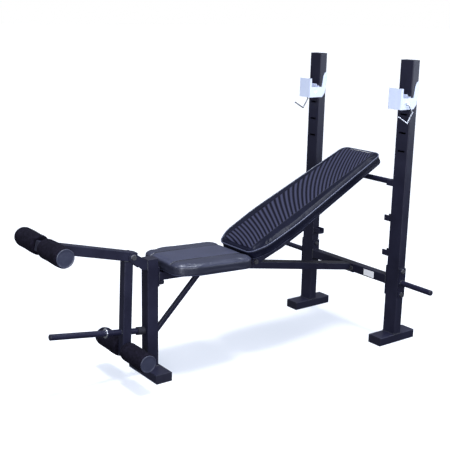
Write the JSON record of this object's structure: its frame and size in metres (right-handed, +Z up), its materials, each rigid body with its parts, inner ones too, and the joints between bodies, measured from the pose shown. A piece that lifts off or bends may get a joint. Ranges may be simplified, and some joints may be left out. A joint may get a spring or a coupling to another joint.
{
  "type": "adjustable weight bench",
  "caption": "Padded bench with an inclined hinged backrest, a barbell rack on two slotted uprights, and a leg developer with foam rollers.",
  "frame": {"origin": "on the floor, in the bench's mirror plane, midway between the ends of the leg developer and of the rack's feet", "axes": "+X along the bench towards the rack, +Y to the left of somebody walking towards the rack, +Z up"},
  "size_m": [1.764, 1.024, 1.3],
  "materials": {
    "frame_paint": "near-black powder coat, semi-gloss, faint orange peel",
    "cap_plastic": "moulded black plastic, satin",
    "roller_cap_plastic": "satin dark blue-grey moulded discs",
    "bush_plastic": "dark nylon",
    "bolt_steel": "black-zinc hex bolts",
    "catch_steel": "pale silver coat on folded sheet",
    "pin_steel": "bright plated rod and wire",
    "board_wood": "plywood, edges hidden under the cover",
    "seat_vinyl": "grained black vinyl, two stitched seams",
    "back_vinyl": "black vinyl, wavy ribs across the middle, piped edge",
    "roller_foam": "matte black closed-cell foam",
    "bumper_rubber": "matte black rubber",
    "label_foil": "blank pale label"
  },
  "bodies": {
    "frame": {"front_post": "frame_paint", "front_post_cap": "cap_plastic", "front_foot": "frame_paint", "foot_caps": "cap_plastic", "main_beam": "frame_paint", "beam_end_plates": "frame_paint", "beam_bolts": "bolt_steel", "post_knob": "cap_plastic", "brace_strut": "frame_paint", "cross_beam": "frame_paint", "cross_beam_bolts": "bolt_steel", "label_plate": "label_foil", "left_upright": "frame_paint", "right_upright": "frame_paint", "upright_caps": "cap_plastic", "left_rack_foot": "frame_paint", "right_rack_foot": "frame_paint", "left_saddles": "frame_paint", "right_saddles": "frame_paint", "left_storage_peg": "frame_paint", "right_storage_peg": "frame_paint", "storage_peg_caps": "cap_plastic", "seat_brackets": "frame_paint", "seat_board": "board_wood", "seat_pad": "seat_vinyl", "seat_bolts": "bolt_steel", "leg_bracket": "frame_paint", "lever_pivot_bolt": "bolt_steel", "pivot_bracket": "frame_paint", "pivot_sleeve": "frame_paint", "pivot_bushes": "bush_plastic"},
    "backrest": {"back_rails": "frame_paint", "back_rail_caps": "cap_plastic", "back_cross_bars": "frame_paint", "pivot_lugs": "frame_paint", "pivot_axle": "bolt_steel", "back_board": "board_wood", "back_pad": "back_vinyl", "back_bolts": "bolt_steel"},
    "support_bar": {"support_bar": "frame_paint", "support_bar_plugs": "cap_plastic"},
    "leg_lever": {"lever_upper_arm": "frame_paint", "lever_lower_arm": "frame_paint", "lever_arm_caps": "cap_plastic", "lever_bushes": "bush_plastic", "upper_roller_tube": "frame_paint", "lower_roller_tube": "frame_paint", "roller_caps": "roller_cap_plastic", "roller_collars": "frame_paint", "weight_peg": "frame_paint", "weight_peg_cap": "cap_plastic", "stop_bumper": "bumper_rubber"},
    "upper_left_roller": {"upper_left_foam": "roller_foam"},
    "upper_right_roller": {"upper_right_foam": "roller_foam"},
    "lower_left_roller": {"lower_left_foam": "roller_foam"},
    "lower_right_roller": {"lower_right_foam": "roller_foam"},
    "left_catch": {"left_bar_catch": "catch_steel"},
    "right_catch": {"right_bar_catch": "catch_steel"},
    "left_pin": {"left_lock_pin": "pin_steel"},
    "right_pin": {"right_lock_pin": "pin_steel"}
  },
  "joints": [
    {"name": "backrest_hinge", "type": "hinge", "parent": "frame", "child": "backrest", "pos_m": [0.1, 0, 0.44], "axis": [0, -1, 0], "range_deg": [0, 10]},
    {"name": "support_bar_lift", "type": "slide", "parent": "frame", "child": "support_bar", "axis": [0, 0, 1], "range_m": [0, 0.03]},
    {"name": "leg_lever_hinge", "type": "hinge", "parent": "frame", "child": "leg_lever", "pos_m": [-0.469, 0, 0.531], "axis": [0, 1, 0], "range_deg": [0, 90]},
    {"name": "upper_left_roller_spin", "type": "hinge", "parent": "leg_lever", "child": "upper_left_roller", "pos_m": [-0.84204, 0, 0.62539], "axis": [0, 1, 0], "continuous": true},
    {"name": "upper_right_roller_spin", "type": "hinge", "parent": "leg_lever", "child": "upper_right_roller", "pos_m": [-0.84204, 0, 0.62539], "axis": [0, 1, 0], "continuous": true},
    {"name": "lower_left_roller_spin", "type": "hinge", "parent": "leg_lever", "child": "lower_left_roller", "pos_m": [-0.4996, 0, 0.138], "axis": [0, 1, 0], "continuous": true},
    {"name": "lower_right_roller_spin", "type": "hinge", "parent": "leg_lever", "child": "lower_right_roller", "pos_m": [-0.4996, 0, 0.138], "axis": [0, 1, 0], "continuous": true},
    {"name": "left_catch_unhook", "type": "slide", "parent": "frame", "child": "left_catch", "axis": [-0.7071, 0, 0.7071], "range_m": [0, 0.06]},
    {"name": "right_catch_unhook", "type": "slide", "parent": "frame", "child": "right_catch", "axis": [-0.7071, 0, 0.7071], "range_m": [0, 0.06]},
    {"name": "left_pin_pull", "type": "slide", "parent": "left_catch", "child": "left_pin", "axis": [0, 1, 0], "range_m": [0, 0.085]},
    {"name": "right_pin_pull", "type": "slide", "parent": "right_catch", "child": "right_pin", "axis": [0, -1, 0], "range_m": [0, 0.085]}
  ],
  "couplings": [
    {"joint": "support_bar_lift", "follows": "backrest_hinge", "m_per_rad": 0.17}
  ]
}
